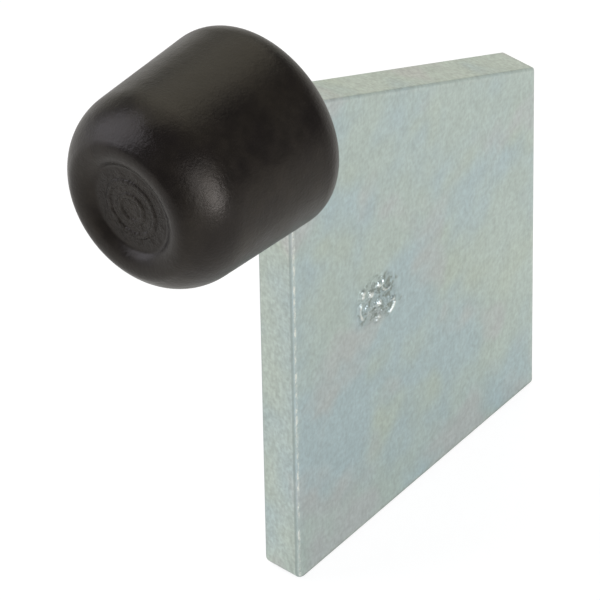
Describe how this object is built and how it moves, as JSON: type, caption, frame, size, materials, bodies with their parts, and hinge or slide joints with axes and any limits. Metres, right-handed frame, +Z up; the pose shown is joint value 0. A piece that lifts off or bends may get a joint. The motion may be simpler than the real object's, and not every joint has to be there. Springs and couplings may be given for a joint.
{
  "type": "weld-on gate stop",
  "caption": "Steel plate with a sloping top edge, welded down by its foot, carrying a round rubber buffer on its tall front edge to stop a gate.",
  "frame": {"origin": "middle of the plate's foot, the face that is welded down", "axes": "+Z up along the plate's front edge, -X out of the front edge towards the buffer, -Y out of the big face with the rough spot"},
  "size_m": [0.1393, 0.05, 0.1685],
  "materials": {
    "zinc_plate": "bright zinc plating, satin, faintly mottled blue and green",
    "black_rubber": "moulded black rubber, satin",
    "stud_steel": "bright zinc-plated steel",
    "weld_metal": "weld metal under the plating"
  },
  "bodies": {
    "root": {"stop_plate": "zinc_plate", "rubber_buffer": "black_rubber", "buffer_stud": "stud_steel", "stud_weld": "weld_metal", "threaded_bush": "stud_steel"}
  },
  "joints": []
}
